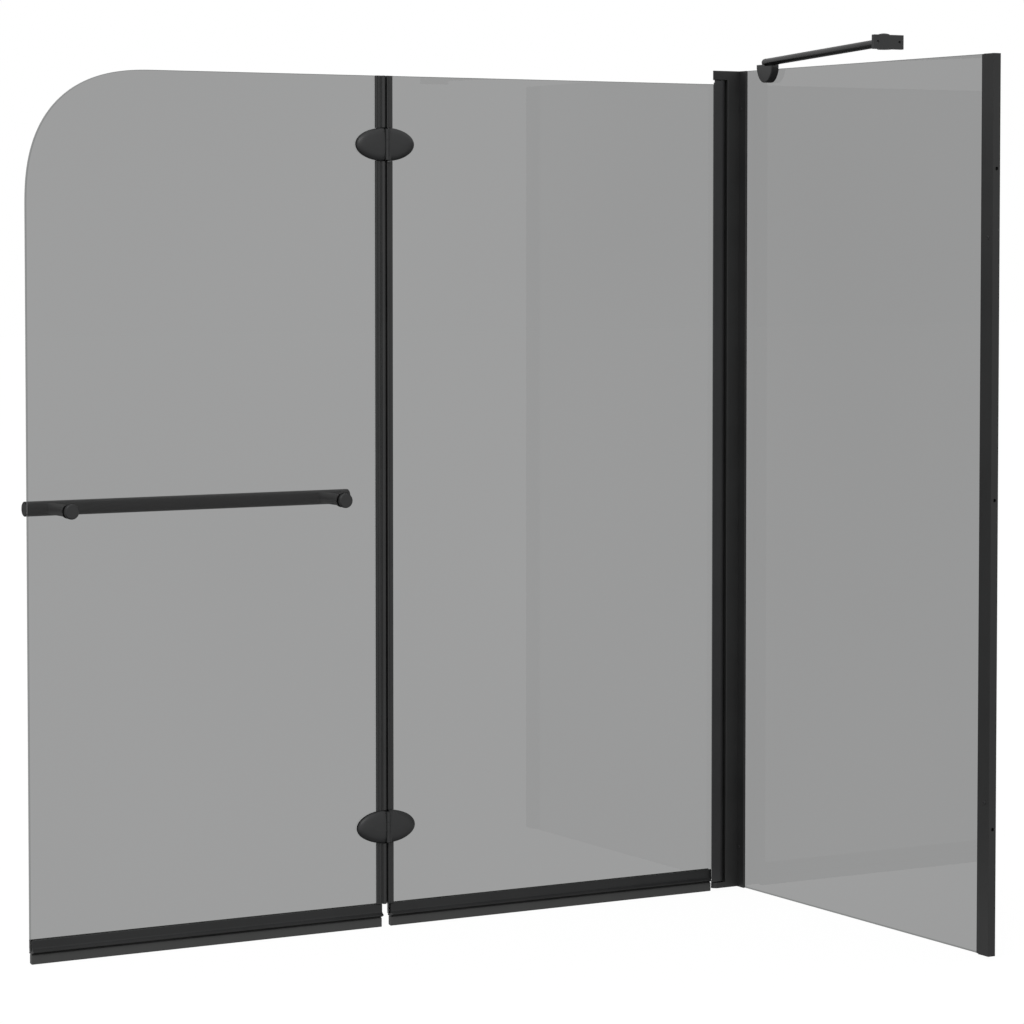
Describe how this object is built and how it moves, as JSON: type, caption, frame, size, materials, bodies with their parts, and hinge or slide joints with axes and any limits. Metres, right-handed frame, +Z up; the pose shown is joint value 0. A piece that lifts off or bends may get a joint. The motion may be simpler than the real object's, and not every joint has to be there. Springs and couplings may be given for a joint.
{
  "type": "bi-fold shower enclosure",
  "caption": "L-shaped bath enclosure: fixed smoked side pane, bi-fold smoked screen on a corner post, black fittings, towel bar and stabiliser bar.",
  "frame": {"origin": "crossing of the mid-planes of the side pane and of the closed bi-fold screen, on the flat underside of the corner post, which stands on the bath rim", "axes": "+Z up; the bi-fold screen runs along -X; the side pane runs along -Y to the wall; +Y is the room side of the screen"},
  "size_m": [1.2213, 0.753, 1.3276],
  "materials": {
    "smoked_glass": "grey-tinted toughened glass, clear polish",
    "black_profile": "satin black powder coat on extruded aluminium",
    "black_rail": "satin black moulded strip",
    "black_seal": "matt black extruded seal",
    "wiper_lip": "charcoal soft wiper strip",
    "black_casting": "satin black painted zinc casting",
    "black_tube": "satin black painted steel tube",
    "black_screw": "black oxide screw",
    "steel_pin": "drawn stainless steel",
    "black_nylon": "black nylon"
  },
  "bodies": {
    "fixed_frame": {"bottom_cap": "black_profile", "cap_screws": "black_screw", "corner_post": "black_profile", "glass_edge_profile": "black_profile", "lower_pivot_pin": "steel_pin", "pivot_thrust_washers": "black_nylon", "post_glass_gasket": "black_seal", "post_lock_screws": "black_screw", "side_glass": "smoked_glass", "stabiliser_bar": "black_tube", "stabiliser_bar_end_plug": "black_tube", "stabiliser_bar_tongue": "black_casting", "stabiliser_clamp": "black_casting", "stabiliser_clamp_bolt": "black_screw", "stabiliser_clamp_pads": "black_seal", "stabiliser_clamp_screw": "black_screw", "stabiliser_clamp_sleeve": "black_nylon", "stabiliser_pivot_screw": "black_screw", "stabiliser_wall_bracket": "black_casting", "top_cap": "black_profile", "upper_pivot_pin": "steel_pin", "wall_channel": "black_profile", "wall_channel_lock_screws": "black_screw", "wall_glass_gasket": "black_seal"},
    "inner_door": {"pivot_profile": "black_profile", "pivot_bushes": "black_nylon", "pivot_glass_gasket": "black_seal", "inner_glass": "smoked_glass", "inner_bottom_rail": "black_rail", "inner_wiper_lip": "wiper_lip", "inner_fold_seal": "black_seal", "lower_hinge_inner_leaf": "black_casting", "upper_hinge_inner_leaf": "black_casting", "lower_hinge_inner_back_plate": "black_casting", "upper_hinge_inner_back_plate": "black_casting", "inner_hinge_pads": "black_seal", "inner_hinge_screws": "black_screw", "lower_hinge_pin": "steel_pin", "upper_hinge_pin": "steel_pin"},
    "outer_door": {"outer_glass": "smoked_glass", "outer_bottom_rail": "black_rail", "outer_wiper_lip": "wiper_lip", "outer_fold_seal": "black_seal", "lower_hinge_outer_leaf": "black_casting", "lower_hinge_outer_back_plate": "black_casting", "upper_hinge_outer_leaf": "black_casting", "upper_hinge_outer_back_plate": "black_casting", "outer_hinge_pads": "black_seal", "outer_hinge_screws": "black_screw", "towel_bar": "black_tube", "towel_bar_end_caps": "black_tube", "towel_bar_inside_caps": "black_tube", "towel_bar_posts": "black_tube", "towel_bar_sleeves": "black_nylon", "towel_bar_studs": "steel_pin", "towel_bar_washers": "black_seal"}
  },
  "joints": [
    {"name": "door_pivot", "type": "hinge", "parent": "fixed_frame", "child": "inner_door", "pos_m": [-0.0395, 0, 0], "axis": [0, 0, 1], "range_deg": [-90, 30]},
    {"name": "fold_hinge", "type": "hinge", "parent": "inner_door", "child": "outer_door", "pos_m": [-0.6392, -0.0135, 0], "axis": [0, 0, 1], "range_deg": [0, 180]}
  ]
}
